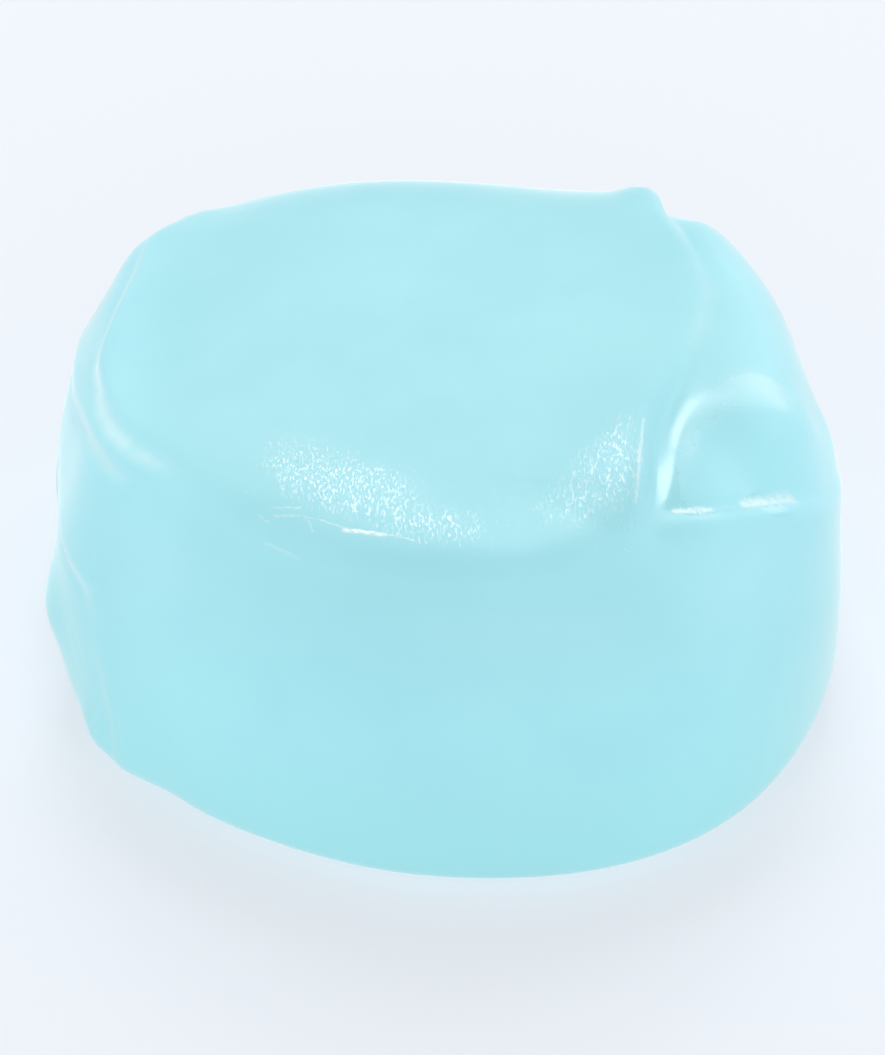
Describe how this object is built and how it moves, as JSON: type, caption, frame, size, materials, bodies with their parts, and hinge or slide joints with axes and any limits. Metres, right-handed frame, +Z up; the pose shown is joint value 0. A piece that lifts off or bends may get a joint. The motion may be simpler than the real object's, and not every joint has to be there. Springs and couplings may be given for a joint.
{
  "type": "detailing clay lump",
  "caption": "Soft pale aqua detailing clay, kneaded by hand into a rounded lump of folded laps; rubbed over wet paint to lift grit.",
  "frame": {"origin": "middle of the lump's bounding box, on the flat foot that it rests on", "axes": "+X along the width, to the right; +Y along the depth, to the rear; +Z up, from foot to crown"},
  "size_m": [0.0764, 0.0744, 0.037],
  "materials": {
    "clay": "soft translucent polymer clay, satin to wet gloss where pressed"
  },
  "bodies": {
    "root": {"clay_core": "clay", "top_lap": "clay", "right_lap": "clay", "left_lap": "clay", "left_tuck": "clay", "side_flap": "clay"}
  },
  "joints": []
}
